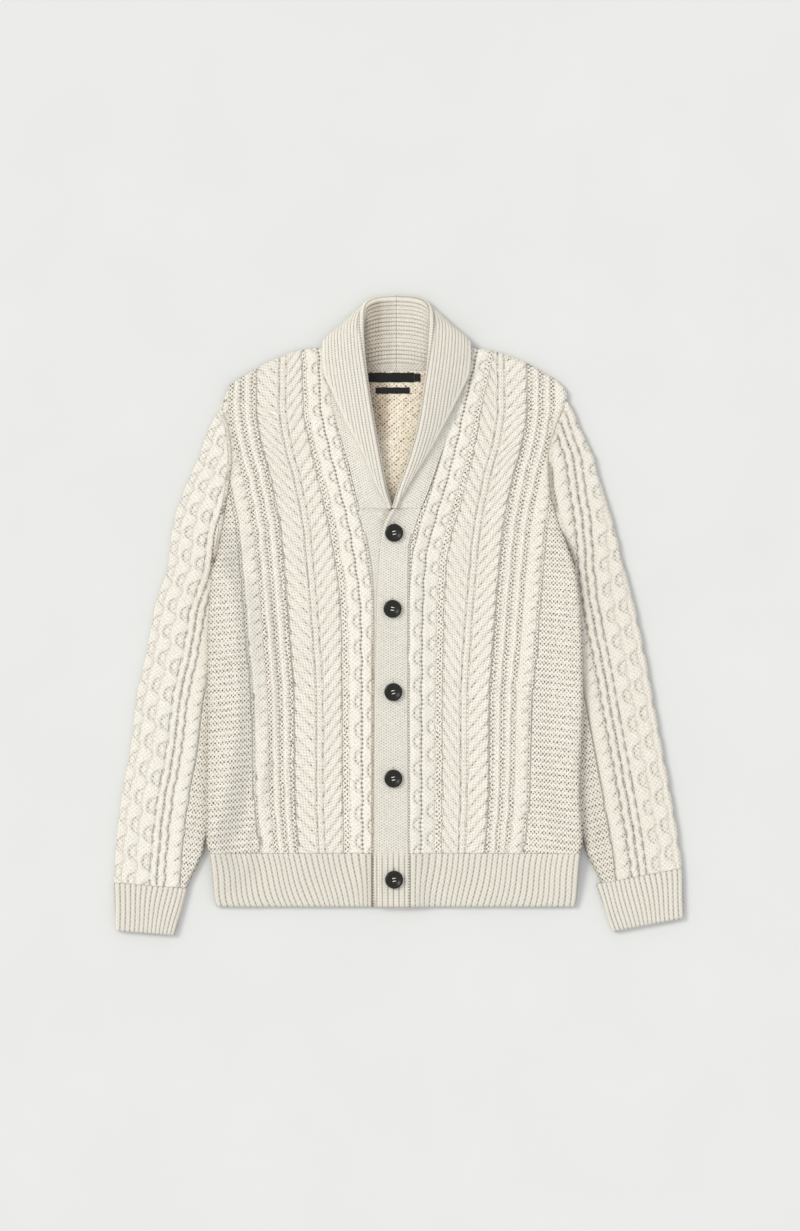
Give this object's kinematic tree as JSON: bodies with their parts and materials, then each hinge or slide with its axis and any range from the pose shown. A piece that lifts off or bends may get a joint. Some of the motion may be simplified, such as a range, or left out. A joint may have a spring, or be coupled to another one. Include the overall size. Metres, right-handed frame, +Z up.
{
  "type": "shawl collar cardigan",
  "caption": "Chunky cable-knit cardigan with a shawl collar, buttoned down the front and laid flat on its back with the sleeves at its sides.",
  "frame": {"origin": "on the surface it lies on, under the middle of its bounding box", "axes": "+Z up from the surface through the front of the garment, +Y from the hem towards the collar, +X towards the wearer's left sleeve, which is on the right as seen from above"},
  "size_m": [0.7058, 0.7927, 0.0213],
  "materials": {
    "ecru_cotton": "soft cable knit, matt",
    "ecru_rib": "fine rib knit, matt",
    "horn_black": "polished",
    "woven_black": "satin woven, bare"
  },
  "bodies": {
    "root": {"back": "ecru_cotton", "front_left": "ecru_cotton", "front_right": "ecru_cotton", "sleeve_left": "ecru_cotton", "sleeve_right": "ecru_cotton", "back_hem": "ecru_rib", "hem_left": "ecru_rib", "hem_right": "ecru_rib", "cuff_left": "ecru_rib", "cuff_right": "ecru_rib", "band_left": "ecru_rib", "band_right": "ecru_rib", "collar_left": "ecru_rib", "collar_right": "ecru_rib", "button_1": "horn_black", "button_2": "horn_black", "button_3": "horn_black", "button_4": "horn_black", "button_5": "horn_black", "main_label": "woven_black", "size_tab": "woven_black", "care_label": "woven_black"}
  },
  "joints": []
}
